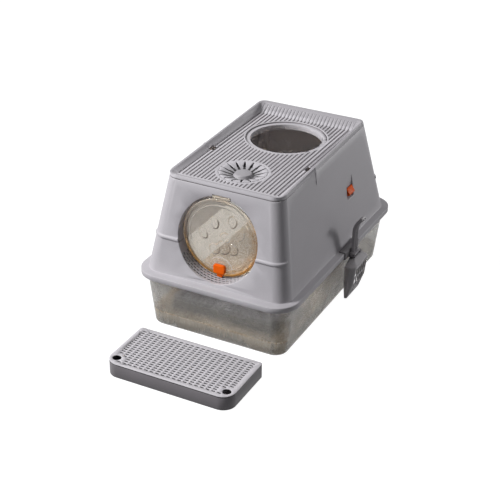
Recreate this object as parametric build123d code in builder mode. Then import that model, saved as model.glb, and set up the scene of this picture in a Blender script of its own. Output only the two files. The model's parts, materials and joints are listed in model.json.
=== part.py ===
from build123d import *
from math import atan, cos, degrees, radians, sin, sqrt, tan
import os

os.makedirs("parts", exist_ok=True)

# Top entry litter box. Millimetres, +Z up, -Y is the door end, origin under the middle of the pan.

# ---- litter pan ----
pan_wall = 2.6
pan_base_width = 312.0
pan_base_length = 521.0
pan_base_radius = 29.0
pan_top_width = 340.0
pan_top_length = 547.0
pan_top_radius = 36.0
pan_height = 130.0
pan_foot_round = 7.0
pan_lip_side = 8.4            # how far the rim reaches out along the sides
pan_lip_end = 12.9            # and at the two ends
pan_lip_radius = 48.4
pan_lip_thickness = 2.6
litter_depth = 34.0
litter_gap = 0.6

# ---- hood ----
hood_wall = 3.0
hood_side_draft = 9.4         # degrees that each wall leans in
hood_front_draft = 10.8
hood_back_draft = 16.8
hood_crown_height = 350.0     # where the crown radii are taken
hood_crown_front_radius = 26.0
hood_crown_back_radius = 16.0
hood_skirt_clearance = 1.4    # skirt inside the pan's rim
hood_skirt_depth = 8.0
flange_thickness = 3.0
flange_wall = 2.6
flange_clearance = 1.0        # lip outside the pan's rim
flange_drop = 12.0
bead_height = 212.0
bead_width = 8.0
bead_flat = 4.5
bead_proud = 2.2
bead_root = 0.4               # how deep the bead's edges run into the wall
bead_wrap = 20.0              # how far the bead runs past each corner along the side

# ---- top panel ----
rim_front_height = 346.0
rim_slope = 1.46              # degrees, rising to the back
rim_depth = 9.0
crest_width = 5.0
panel_clearance = 0.4         # panel plug inside the hood walls
panel_wall = 2.4
panel_plug_depth = 4.0
floor_height = 340.0
floor_thickness = 2.6
floor_side_margin = 16.0      # outer wall to the floor's edge, at floor level
floor_front_margin = 15.0
floor_corner_radius = 9.0
crest_corner_radius = 14.0
ramp_length = 29.0
groove_count = 27
groove_pitch = 8.7
groove_width = 3.8
groove_depth = 1.3
groove_front_margin = 8.0
groove_back_margin = 7.0
clip_y = -69.0
clip_width = 6.0
clip_proud = 0.8
clip_tail_height = 314.0      # foot of the strap on the hood's wall
clip_window_y = -62.0
clip_window_length = 20.0
clip_window_inner = 9.0       # into the floor, from its edge
clip_window_outer = 3.5       # into the rim's slope
latch_tab_width = 26.0
latch_tab_thickness = 2.4
latch_tab_wall_gap = 1.4      # tab to the hood wall, where the hood is narrowest
latch_tab_tip = 6.0           # tab below its catch window

# ---- top entry hole and its ring ----
entry_y = 66.0
entry_radius = 79.0
entry_ring_wall = 2.2
entry_ring_flange = 9.6
entry_ring_thickness = 2.5
entry_ring_drop = 3.0         # ring's top below the floor
entry_ring_sleeve = 10.0
entry_ring_gap = 0.9          # shadow gap round the ring
entry_sleeve_clearance = 0.3
entry_ring_round = 0.8
entry_snap_count = 4
entry_snap_width = 16.0
entry_snap_height = 1.8
entry_snap_proud = 1.1
entry_snap_gap = 0.3
entry_groove_margin = 3.5

# ---- vent cap, filter cup and filter ----
vent_y = -138.5
vent_dish_radius = 46.0
vent_dish_depth = 9.0
vent_rim_width = 5.0
vent_recess_depth = 1.2
vent_flange_thickness = 1.8
vent_cap_thickness = 2.0
vent_cap_clearance = 0.4
vent_hub_base_radius = 20.0
vent_hub_top_radius = 17.5
vent_hub_height = 6.0
vent_slot_count = 16
vent_slot_root = 5.8          # slot width beside the hub
vent_slot_tip = 2.0
vent_slot_length = 22.5
vent_margin = 6.5
vent_lug_count = 3
vent_lug_width = 12.0
vent_lug_reach = 2.6
vent_lug_thickness = 1.8
vent_lug_gap = 0.3
vent_twist = 30.0             # degrees from locked to the notches
cup_inner_radius = 52.0
cup_wall = 2.0
cup_depth = 24.0             # its foot clears the flap's inward swing
cup_flange_radius = 61.0
cup_flange_thickness = 2.0
cup_slot_pitch = 11.0
cup_slot_width = 4.0
cup_slot_length = 60.0
cup_slot_count = 7
cup_hook_count = 3
cup_hook_gap = 0.4
cup_hook_reach = 3.0
cup_hook_wall = 2.0
cup_hook_width = 14.0
filter_thickness = 10.0
filter_clearance = 0.6
filter_round = 1.5

# ---- front door ----
door_radius = 91.0            # inside of the tunnel
door_height = 231.0
tunnel_wall = 3.0
tunnel_back_y = -226.0
threshold_rows = 4
threshold_row_pitch = 7.6
threshold_first_row = 9.0     # from the tunnel's back edge
threshold_slot_length = 6.4
threshold_slot_width = 2.6
threshold_angle_step = 5.6
threshold_columns = 21
flap_gap = 4.0
flap_thickness = 2.6
flap_y = -234.0
flap_rim_width = 6.0
flap_rim_thickness = 4.6
paw_relief = 0.8
paw_pad_width = 50.0
paw_pad_height = 38.0
paw_pad_drop = -12.0
paw_toe_width = 20.0
paw_toe_height = 29.0
paw_toe_inner_x = 16.0
paw_toe_inner_y = 34.0
paw_toe_inner_tilt = 8.0
paw_toe_outer_x = 40.0
paw_toe_outer_y = 12.0
paw_toe_outer_tilt = 24.0
hinge_width = 40.0
hinge_y = -232.0
hinge_height = 319.0
hinge_pin_radius = 1.2
hinge_pin_clearance = 0.05
hinge_barrel_radius = 3.5
hinge_side_gap = 1.0
hinge_top_gap = 1.0
lug_width = 8.0
hinge_pin_seat = 6.5          # pin into each lug
hinge_pin_end = 0.2
lug_radius = 3.2              # boss round the pin, clear of the flap's edge
latch_knob_height = 158.0
latch_boss_radius = 28.0
latch_head_width = 26.0
latch_head_above = 12.5       # head's top above its axis
latch_head_below = 6.5        # its flat foot below the axis
latch_head_corner = 4.5
latch_head_depth = 8.0
latch_head_round = 1.5
latch_tongue_width = 12.0
latch_tongue_depth = 4.0
latch_tongue_gap = 2.4        # tongue tip above the threshold
latch_shaft_radius = 4.0
latch_shaft_clearance = 0.05
latch_clip_radius = 7.5
latch_clip_thickness = 1.8
latch_face_gap = 0.3

# ---- side latches ----
side_latch_y = 85.0
pocket_width = 34.0
pocket_bottom = 221.0
pocket_top = 269.0            # where the upright pocket meets the leaning wall
pocket_wall = 2.6
side_latch_width = 29.0
side_latch_bottom = 228.0
side_latch_lip_height = 231.5
side_latch_proud = 4.5        # lip beyond the wall
side_latch_pivot_height = 243.5
side_latch_barrel = 1.9
side_latch_pin_radius = 0.9
side_latch_pin_clearance = 0.05
side_latch_pin_seat = 1.8     # pin into each side of the pocket
side_latch_pin_end = 0.4
side_latch_lip_face = 3.0
side_latch_foot = 3.5
side_latch_back_gap = 0.3
side_latch_nose_width = 18.0
side_latch_nose_bottom = 233.0
side_latch_nose_height = 4.0
side_latch_nose_gap = 0.6     # nose tip to the panel's tab
side_latch_window_side = 1.5
side_latch_window_below = 7.0
side_latch_window_above = 1.5

# ---- steps: the one inside the door and the loose one outside ----
step_wall = 2.5
step_grid_thickness = 3.0
step_grid_skirt = 4.0
step_grid_clearance = 0.5
step_slot_length = 8.0
step_slot_width = 3.4
step_slot_pitch_x = 12.6
step_slot_pitch_y = 7.5
step_slot_margin = 10.0
inner_step_width = 240.0
inner_step_depth = 140.0
inner_step_height = 58.0
inner_step_front_y = -232.0
inner_step_radius = 12.0
outer_step_width = 284.0
outer_step_depth = 144.0
outer_step_height = 32.0
outer_step_x = 8.0
outer_step_y = -406.0
outer_step_front_radius = 28.0
outer_step_back_radius = 6.0
finger_hole_radius = 9.0
finger_hole_side = 17.0
finger_hole_front = 22.0
finger_hole_keepout = 15.0

# ---- scoop and its holder ----
holder_y = 28.0
holder_width = 76.0
holder_thickness = 2.4
holder_gap = 0.3              # plate to flange
holder_tab = 14.0
holder_hook_rise = 3.0
holder_fork_reach = 15.0
holder_fork_width = 9.0
holder_fork_thickness = 4.0
holder_fork_height = 122.0
scoop_gap = 0.6               # scoop back to the holder's plate
scoop_wall = 1.9
scoop_head_width = 84.0
scoop_head_bottom = 22.0
scoop_head_top = 104.0
scoop_shoulder = 10.0
scoop_lip_width = 70.0
scoop_depth = 24.0            # of the bowl under its shoulder
scoop_belly_depth = 19.0
scoop_belly_share = 0.45      # height of the belly section, as a share of the head
scoop_belly_corner = 13.0
scoop_lip_depth = 6.0
scoop_lip_corner = 3.0
scoop_neck_depth = 11.0
scoop_neck_width = 34.0
scoop_handle_width = 18.0
scoop_handle_depth = 8.0
scoop_rib_width = 2.4         # rim and middle ribs of the handle's outer face
scoop_channel_depth = 3.2
scoop_handle_straight_top = 172.0
scoop_handle_arc_radius = 46.0
scoop_handle_arc_angle = 52.0
scoop_handle_corner = 2.0
scoop_hang_hole_radius = 3.0
scoop_hang_hole_inset = 9.0   # degrees of the arc before its end
scoop_collar_width = 30.0
scoop_collar_thickness = 4.0
scoop_fork_gap = 1.0
scoop_slot_columns = 5
scoop_slot_rows = 3
scoop_slot_width = 8.4
scoop_slot_length = 22.0
scoop_slot_pitch_y = 12.6
scoop_slot_pitch_z = 25.0
scoop_slot_drop = 2.0

# ---- worked out from the values above ----
flange_top = pan_height + flange_thickness
hood_base_width = pan_top_width - 2 * (pan_wall + hood_skirt_clearance)
hood_base_length = pan_top_length - 2 * (pan_wall + hood_skirt_clearance)
hood_base_radius = pan_top_radius - pan_wall - hood_skirt_clearance
pan_lip_width = pan_top_width + 2 * pan_lip_side
pan_lip_length = pan_top_length + 2 * pan_lip_end
flange_inner_width = pan_lip_width + 2 * flange_clearance
flange_inner_length = pan_lip_length + 2 * flange_clearance
flange_inner_radius = pan_lip_radius + flange_clearance
flange_width = flange_inner_width + 2 * flange_wall
flange_length = flange_inner_length + 2 * flange_wall
flange_radius = flange_inner_radius + flange_wall
side_lean = tan(radians(hood_side_draft))
front_lean = tan(radians(hood_front_draft))
back_lean = tan(radians(hood_back_draft))
loft_top = rim_front_height + 60


def half_width_at(height):
    return hood_base_width / 2 - (height - flange_top) * side_lean


def front_at(height):
    return -hood_base_length / 2 + (height - flange_top) * front_lean


def back_at(height):
    return hood_base_length / 2 - (height - flange_top) * back_lean


rim_front_y = front_at(rim_front_height)
rim_normal = (0, -sin(radians(rim_slope)), cos(radians(rim_slope)))


def rim_plane(drop):
    """Tilted plane of the rim's crest, lowered by drop."""
    return Plane((0, rim_front_y, rim_front_height - drop), x_dir=(1, 0, 0), z_dir=rim_normal)


def crest_height(y):
    return rim_front_height + (y - rim_front_y) * tan(radians(rim_slope))


def seam_height(y):
    return crest_height(y) - rim_depth


def hood_section(height, inset):
    """Rounded section of the leaning walls at one height, moved inwards by inset."""
    share = (height - flange_top) / (hood_crown_height - flange_top)
    front_radius = hood_base_radius + share * (hood_crown_front_radius - hood_base_radius)
    back_radius = hood_base_radius + share * (hood_crown_back_radius - hood_base_radius)
    front = front_at(height) + inset
    back = back_at(height) - inset
    with BuildSketch(Plane.XY.offset(height)) as section:
        with Locations((0, (front + back) / 2)):
            Rectangle(2 * (half_width_at(height) - inset), back - front)
        fillet(section.vertices().group_by(Axis.Y)[0], front_radius - inset)
        fillet(section.vertices().group_by(Axis.Y)[-1], back_radius - inset)
    return section.sketch


def walls(inset, low, high):
    """Closed solid bounded by the leaning walls, moved inwards by inset."""
    sections = [hood_section(low, inset), hood_section(high, inset)]
    with BuildPart() as block:
        loft(sections=sections, ruled=True)
    return block.part


def save(builder, name):
    builder.part.label = name
    export_step(builder.part, "parts/" + name + ".step")


# ================= litter pan =================
with BuildPart() as litter_pan:
    with BuildSketch(Plane.XY):
        RectangleRounded(pan_base_width, pan_base_length, pan_base_radius)
    with BuildSketch(Plane.XY.offset(pan_height)):
        RectangleRounded(pan_top_width, pan_top_length, pan_top_radius)
    loft(ruled=True)
    fillet(litter_pan.edges().group_by(Axis.Z)[0], pan_foot_round)
    with BuildSketch(Plane.XY.offset(pan_height - pan_lip_thickness)):
        RectangleRounded(pan_lip_width, pan_lip_length, pan_lip_radius)
    extrude(amount=pan_lip_thickness)
    pan_side_lean = (pan_top_width - pan_base_width) / 2 / pan_height
    pan_end_lean = (pan_top_length - pan_base_length) / 2 / pan_height
    with BuildSketch(Plane.XY.offset(pan_wall)):
        RectangleRounded(
            pan_base_width + 2 * (pan_side_lean * pan_wall - pan_wall),
            pan_base_length + 2 * (pan_end_lean * pan_wall - pan_wall),
            pan_base_radius - pan_wall,
        )
    with BuildSketch(Plane.XY.offset(pan_height)):
        RectangleRounded(
            pan_top_width - 2 * pan_wall,
            pan_top_length - 2 * pan_wall,
            pan_top_radius - pan_wall,
        )
    loft(ruled=True, mode=Mode.SUBTRACT)
save(litter_pan, "litter_pan")


def pan_inside(height, gap):
    """Width, length and radius of the pan's inside at one height, less a gap all round."""
    share = height / pan_height
    width = pan_base_width + share * (pan_top_width - pan_base_width) - 2 * (pan_wall + gap)
    length = pan_base_length + share * (pan_top_length - pan_base_length) - 2 * (pan_wall + gap)
    radius = pan_base_radius + share * (pan_top_radius - pan_base_radius) - pan_wall - gap
    return width, length, radius


inner_step_y = inner_step_front_y + inner_step_depth / 2
litter_top = pan_wall + litter_depth

with BuildPart() as litter_bed:
    with BuildSketch(Plane.XY.offset(pan_wall)):
        RectangleRounded(*pan_inside(pan_wall, pan_foot_round))
    with BuildSketch(Plane.XY.offset(pan_foot_round)):
        RectangleRounded(*pan_inside(pan_foot_round, litter_gap))
    loft(ruled=True)
    with BuildSketch(Plane.XY.offset(pan_foot_round)):
        RectangleRounded(*pan_inside(pan_foot_round, litter_gap))
    with BuildSketch(Plane.XY.offset(litter_top)):
        RectangleRounded(*pan_inside(litter_top, litter_gap))
    loft(ruled=True)
    with BuildSketch(Plane.XY.offset(pan_wall)):
        with Locations((0, inner_step_y)):
            RectangleRounded(
                inner_step_width + 2 * litter_gap,
                inner_step_depth + 2 * litter_gap,
                inner_step_radius + litter_gap,
            )
    extrude(amount=litter_depth, mode=Mode.SUBTRACT)
    # two narrow slits leave four blocks of plain shape: behind, beside and before the inner step
    for side in (-1, 1):
        with Locations((0, inner_step_y + side * (inner_step_depth + litter_gap) / 2, pan_wall)):
            Box(
                pan_top_width,
                litter_gap,
                litter_depth,
                align=(Align.CENTER, Align.CENTER, Align.MIN),
                mode=Mode.SUBTRACT,
            )
save(litter_bed, "litter_bed")

# ================= hood =================
seam_plane = rim_plane(rim_depth)
outer_block = walls(0, pan_height, loft_top)
inner_block = walls(hood_wall, pan_height, loft_top)
clip_block = walls(-clip_proud, pan_height, loft_top)
window_width = side_latch_nose_width + 2 * side_latch_window_side
window_height = side_latch_nose_height + side_latch_window_below + side_latch_window_above
window_middle = side_latch_nose_bottom - side_latch_window_below + window_height / 2
notch_top_z = hinge_height + hinge_barrel_radius + hinge_top_gap
lug_inner_x = hinge_width / 2 + hinge_side_gap
pocket_back_x = half_width_at(pocket_top)
side_latch_pivot_x = pocket_back_x + side_latch_back_gap + side_latch_barrel
tunnel_plane = Plane((0, tunnel_back_y, door_height), x_dir=(1, 0, 0), z_dir=(0, -1, 0))
tunnel_length = hood_base_length / 2 + tunnel_back_y + 1

with BuildPart() as tunnel:
    with BuildSketch(tunnel_plane):
        Circle(door_radius + tunnel_wall)
    extrude(amount=tunnel_length)
    add(outer_block, mode=Mode.INTERSECT)

bead_sections = [
    hood_section(bead_height - bead_width / 2, bead_root),
    hood_section(bead_height - bead_flat / 2, -bead_proud),
    hood_section(bead_height + bead_flat / 2, -bead_proud),
    hood_section(bead_height + bead_width / 2, bead_root),
]
bead_front = front_at(bead_height) + bead_wrap
bead_back = back_at(bead_height) - bead_wrap

with BuildPart() as bead:
    loft(sections=bead_sections, ruled=True)
    with Locations((0, (bead_front + bead_back) / 2, bead_height)):
        Box(2 * hood_base_width, bead_back - bead_front, 3 * bead_width, mode=Mode.SUBTRACT)
    add(inner_block, mode=Mode.SUBTRACT)

with BuildPart() as pocket_shells:
    with Locations((pocket_back_x - pocket_wall, side_latch_y, pocket_bottom - pocket_wall)):
        Box(
            hood_base_width,
            pocket_width + 2 * pocket_wall,
            pocket_top - pocket_bottom + 2 * pocket_wall,
            align=(Align.MIN, Align.CENTER, Align.MIN),
        )
    mirror(about=Plane.YZ)
    add(outer_block, mode=Mode.INTERSECT)
    split(bisect_by=seam_plane, keep=Keep.BOTTOM)

with BuildPart() as clip_tails:
    add(clip_block)
    with Locations((0, clip_y, clip_tail_height)):
        Box(
            2 * hood_base_width,
            clip_width,
            loft_top,
            align=(Align.CENTER, Align.CENTER, Align.MIN),
            mode=Mode.INTERSECT,
        )
    split(bisect_by=seam_plane, keep=Keep.BOTTOM)
    add(inner_block, mode=Mode.SUBTRACT)

with BuildPart() as hinge_lugs:
    for side in (-1, 1):
        lug_x = side * (lug_inner_x + lug_width / 2)
        with Locations(Location((lug_x, hinge_y, hinge_height), (0, 90, 0))):
            Cylinder(lug_radius, lug_width)
        with Locations((lug_x, hinge_y, hinge_height + lug_radius)):
            Box(lug_width, 2 * lug_radius, 2 * lug_radius)
    add(outer_block, mode=Mode.INTERSECT)

threshold_slots = []
slot_radius = door_radius + tunnel_wall / 2
for row in range(threshold_rows):
    row_y = tunnel_back_y - threshold_first_row - row * threshold_row_pitch
    for column in range(threshold_columns):
        turn = (column - (threshold_columns - 1) / 2 + (row % 2 - 0.5) / 2) * threshold_angle_step
        slot_x = slot_radius * sin(radians(turn))
        slot_z = door_height - slot_radius * cos(radians(turn))
        threshold_slots.append(Location((slot_x, row_y, slot_z), (0, -turn, 0)))

with BuildPart() as hood:
    add(outer_block)
    add(inner_block, mode=Mode.SUBTRACT)
    split(bisect_by=seam_plane, keep=Keep.BOTTOM)
    # flange, its lip over the pan's rim and the skirt inside the pan
    with BuildSketch(Plane.XY.offset(flange_top - flange_drop)) as flange_outline:
        RectangleRounded(flange_width, flange_length, flange_radius)
    extrude(amount=flange_drop)
    with BuildSketch(Plane.XY.offset(flange_top - flange_drop)):
        RectangleRounded(flange_inner_width, flange_inner_length, flange_inner_radius)
    extrude(amount=flange_drop - flange_thickness, mode=Mode.SUBTRACT)
    with BuildSketch(Plane.XY.offset(pan_height - hood_skirt_depth)):
        RectangleRounded(hood_base_width, hood_base_length, hood_base_radius)
    extrude(amount=hood_skirt_depth)
    with BuildSketch(Plane.XY.offset(pan_height - hood_skirt_depth)):
        RectangleRounded(
            hood_base_width - 2 * hood_wall, hood_base_length - 2 * hood_wall, hood_base_radius - hood_wall
        )
    extrude(amount=hood_skirt_depth + flange_thickness, mode=Mode.SUBTRACT)
    add(bead.part)
    add(clip_tails.part)
    # door tunnel, its hinge notch and the lugs for the hinge pin
    add(tunnel.part)
    add(hinge_lugs.part)
    with BuildSketch(tunnel_plane):
        Circle(door_radius)
    extrude(amount=tunnel_length, mode=Mode.SUBTRACT)
    with BuildSketch(tunnel_plane):
        Circle(door_radius)
    extrude(amount=-hood_wall, mode=Mode.SUBTRACT)
    with Locations((0, tunnel_back_y + hood_wall, notch_top_z)):
        Box(
            2 * lug_inner_x,
            tunnel_length,
            2 * hinge_barrel_radius + 2 * hinge_top_gap,
            align=(Align.CENTER, Align.MAX, Align.MAX),
            mode=Mode.SUBTRACT,
        )
    with Locations(Location((0, hinge_y, hinge_height), (0, 90, 0))):
        Cylinder(
            hinge_pin_radius + hinge_pin_clearance,
            2 * (lug_inner_x + hinge_pin_seat),
            mode=Mode.SUBTRACT,
        )
    # litter slots in the threshold
    with Locations(*threshold_slots):
        Box(threshold_slot_length, threshold_slot_width, 3 * tunnel_wall, mode=Mode.SUBTRACT)
    # side pockets, the window behind each lever and the bores for its pin
    add(pocket_shells.part)
    for side in (-1, 1):
        pocket_middle_x = side * (pocket_back_x + pocket_width / 2)
        with Locations((pocket_middle_x, side_latch_y, (pocket_bottom + pocket_top) / 2)):
            Box(pocket_width, pocket_width, pocket_top - pocket_bottom, mode=Mode.SUBTRACT)
        with Locations((side * pocket_back_x, side_latch_y, window_middle)):
            Box(4 * pocket_wall, window_width, window_height, mode=Mode.SUBTRACT)
        latch_pivot = (side * side_latch_pivot_x, side_latch_y, side_latch_pivot_height)
        with Locations(Location(latch_pivot, (90, 0, 0))):
            Cylinder(
                side_latch_pin_radius + side_latch_pin_clearance,
                pocket_width + 2 * side_latch_pin_seat,
                mode=Mode.SUBTRACT,
            )
save(hood, "hood")

# ================= top panel =================
rim_tilt = tan(radians(rim_slope))
rim_back_y = back_at(crest_height(0)) / (1 + rim_tilt * back_lean)
crest_length = (rim_back_y - rim_front_y) / cos(radians(rim_slope))
crest_plane = rim_plane(0)
plug_block = walls(hood_wall + panel_clearance, pan_height, loft_top)
channel_block = walls(hood_wall + panel_clearance + panel_wall, pan_height, loft_top)
floor_front_y = front_at(floor_height) + floor_front_margin
floor_back_y = rim_back_y - crest_width - ramp_length
floor_half_width = half_width_at(floor_height) - floor_side_margin


def rounded_quad(plane, front_half, back_half, front, back, radius):
    """Symmetrical four-sided face with rounded corners."""
    with BuildSketch(plane) as face:
        with BuildLine():
            Polyline(
                (-front_half, front),
                (front_half, front),
                (back_half, back),
                (-back_half, back),
                close=True,
            )
        make_face()
        fillet(face.vertices(), radius)
    return face.sketch


def dish(grow, drop, rise=0.0):
    """Hollow of the top panel with a ramp at the back, grown sideways, lowered and carried past the crest."""
    floor_face = rounded_quad(
        Plane.XY.offset(floor_height - drop),
        floor_half_width + grow,
        floor_half_width + grow,
        floor_front_y - grow,
        floor_back_y + grow,
        floor_corner_radius,
    )
    crest_face = rounded_quad(
        crest_plane,
        half_width_at(crest_height(rim_front_y)) - crest_width + grow,
        half_width_at(crest_height(rim_back_y)) - crest_width + grow,
        crest_width - grow,
        crest_length - crest_width + grow,
        crest_corner_radius,
    )
    with BuildPart() as hollow:
        loft(sections=[floor_face, crest_face], ruled=True)
        if rise > 0:
            extrude(crest_face, amount=rise)
    return hollow.part


dish_hollow = dish(0, 0)
dish_shell = dish(panel_wall / cos(radians(45)), floor_thickness)
groove_floor = dish(0, groove_depth)
ring_seat_height = floor_height - entry_ring_drop - entry_ring_thickness
ring_ledge_thickness = floor_thickness
ring_recess_radius = entry_radius + entry_ring_flange + entry_ring_gap
ring_ledge_radius = entry_radius + entry_ring_wall + entry_sleeve_clearance
vent_bore_radius = vent_dish_radius + vent_cap_thickness + vent_cap_clearance
vent_recess_radius = vent_dish_radius + vent_rim_width + vent_cap_clearance
floor_underside = floor_height - floor_thickness
tab_outer_x = half_width_at(seam_height(side_latch_y)) - hood_wall - latch_tab_wall_gap

with BuildPart() as grooves:
    with Locations((0, floor_front_y + groove_front_margin, floor_underside)):
        with GridLocations(groove_pitch, 1, groove_count, 1):
            Box(
                groove_width,
                floor_back_y + ramp_length - groove_back_margin - floor_front_y - groove_front_margin,
                loft_top - floor_underside,
                align=(Align.CENTER, Align.MIN, Align.MIN),
            )
    add(groove_floor, mode=Mode.INTERSECT)
    with BuildSketch(Plane.XY.offset(floor_underside)):
        with Locations((0, entry_y)):
            Circle(ring_recess_radius + entry_groove_margin)
        with Locations((0, vent_y)):
            Circle(vent_recess_radius + vent_margin)
    extrude(amount=rim_depth, mode=Mode.SUBTRACT)

tab_top = seam_height(side_latch_y) + panel_wall
hook_bottom = floor_underside - cup_flange_thickness - cup_hook_gap - cup_hook_wall
tab_bottom = side_latch_nose_bottom - latch_tab_tip

with BuildPart() as rim_channel:
    add(channel_block)
    split(bisect_by=rim_plane(panel_wall), keep=Keep.BOTTOM)

with BuildPart() as latch_tabs:
    with Locations((tab_outer_x, side_latch_y, tab_top)):
        Box(
            latch_tab_thickness,
            latch_tab_width,
            tab_top - tab_bottom,
            align=(Align.MAX, Align.CENTER, Align.MAX),
        )
    with Locations((tab_outer_x, side_latch_y, side_latch_nose_bottom + side_latch_nose_height / 2)):
        Box(
            4 * latch_tab_thickness,
            window_width,
            side_latch_nose_height + 2 * side_latch_window_side,
            mode=Mode.SUBTRACT,
        )
    mirror(about=Plane.YZ)

with BuildPart() as clip_straps:
    add(clip_block)
    split(bisect_by=seam_plane, keep=Keep.TOP)
    split(bisect_by=rim_plane(-clip_proud), keep=Keep.BOTTOM)
    add(dish(-clip_proud, 0, rim_depth), mode=Mode.SUBTRACT)
    with Locations((0, clip_y, floor_height)):
        Box(2 * hood_base_width, clip_width, loft_top, mode=Mode.INTERSECT)

with BuildPart() as cup_hooks:
    with BuildSketch(Plane.XY.offset(hook_bottom)):
        with Locations((0, vent_y)):
            with PolarLocations(cup_flange_radius + cup_hook_gap - cup_hook_reach / 2, cup_hook_count):
                Rectangle(cup_hook_reach + 2 * cup_hook_wall, cup_hook_width)
    extrude(amount=floor_underside - hook_bottom)
    with BuildSketch(Plane.XY.offset(hook_bottom + cup_hook_wall)):
        with Locations((0, vent_y)):
            Circle(cup_flange_radius + cup_hook_gap)
    extrude(amount=floor_underside - hook_bottom - cup_hook_wall, mode=Mode.SUBTRACT)

with BuildPart() as top_panel:
    add(outer_block)
    split(bisect_by=seam_plane, keep=Keep.TOP)
    add(plug_block)
    split(bisect_by=crest_plane, keep=Keep.BOTTOM)
    split(bisect_by=rim_plane(rim_depth + panel_plug_depth), keep=Keep.TOP)
    add(rim_channel.part, mode=Mode.SUBTRACT)
    add(latch_tabs.part)
    add(dish_shell)
    # boss under the entry hole
    with BuildSketch(Plane.XY.offset(ring_seat_height - ring_ledge_thickness)):
        with Locations((0, entry_y)):
            Circle(ring_recess_radius + panel_wall)
    extrude(amount=floor_underside - ring_seat_height + ring_ledge_thickness)
    add(cup_hooks.part)
    add(dish_hollow, mode=Mode.SUBTRACT)
    add(grooves.part, mode=Mode.SUBTRACT)
    # straps over the rim and the windows at their feet
    add(clip_straps.part)
    for side in (-1, 1):
        window_align = Align.MIN if side > 0 else Align.MAX
        with Locations((side * (floor_half_width - clip_window_inner), clip_window_y, floor_underside)):
            Box(
                clip_window_inner + clip_window_outer,
                clip_window_length,
                2 * rim_depth,
                align=(window_align, Align.CENTER, Align.CENTER),
                mode=Mode.SUBTRACT,
            )
    # recess and bore for the entry ring
    with BuildSketch(Plane.XY.offset(ring_seat_height)):
        with Locations((0, entry_y)):
            Circle(ring_recess_radius)
    extrude(amount=rim_depth, mode=Mode.SUBTRACT)
    with BuildSketch(Plane.XY.offset(ring_seat_height - ring_ledge_thickness)):
        with Locations((0, entry_y)):
            Circle(ring_ledge_radius)
    extrude(amount=rim_depth, mode=Mode.SUBTRACT)
    # recess, bore and bayonet notches for the vent cap
    with BuildSketch(Plane.XY.offset(floor_height - vent_recess_depth)):
        with Locations((0, vent_y)):
            Circle(vent_recess_radius)
    extrude(amount=rim_depth, mode=Mode.SUBTRACT)
    with BuildSketch(Plane.XY.offset(floor_underside)):
        with Locations((0, vent_y)):
            Circle(vent_bore_radius)
            with PolarLocations(vent_bore_radius, vent_lug_count, start_angle=vent_twist):
                Rectangle(2 * vent_lug_reach + 2 * vent_cap_clearance, vent_lug_width + 2)
    extrude(amount=floor_thickness, mode=Mode.SUBTRACT)
save(top_panel, "top_panel")

# ================= entry ring =================
entry_snap_bottom = ring_seat_height - ring_ledge_thickness - entry_snap_gap - entry_snap_height
with BuildPart() as entry_ring:
    with BuildSketch(Plane.XY.offset(ring_seat_height)):
        with Locations((0, entry_y)):
            Circle(entry_radius + entry_ring_flange)
    extrude(amount=entry_ring_thickness)
    with BuildSketch(Plane.XY.offset(ring_seat_height - entry_ring_sleeve)):
        with Locations((0, entry_y)):
            Circle(entry_radius + entry_ring_wall)
    extrude(amount=entry_ring_sleeve)
    # snap beads under the panel's ledge
    with BuildSketch(Plane.XY.offset(entry_snap_bottom)):
        with Locations((0, entry_y)):
            with PolarLocations(entry_radius + entry_ring_wall, entry_snap_count):
                Rectangle(2 * entry_snap_proud, entry_snap_width)
    extrude(amount=entry_snap_height)
    with BuildSketch(Plane.XY.offset(ring_seat_height - entry_ring_sleeve)):
        with Locations((0, entry_y)):
            Circle(entry_radius)
    extrude(amount=entry_ring_sleeve + entry_ring_thickness, mode=Mode.SUBTRACT)
    fillet(entry_ring.edges().filter_by(GeomType.CIRCLE).group_by(Axis.Z)[-1], entry_ring_round)
save(entry_ring, "entry_ring")

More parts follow.
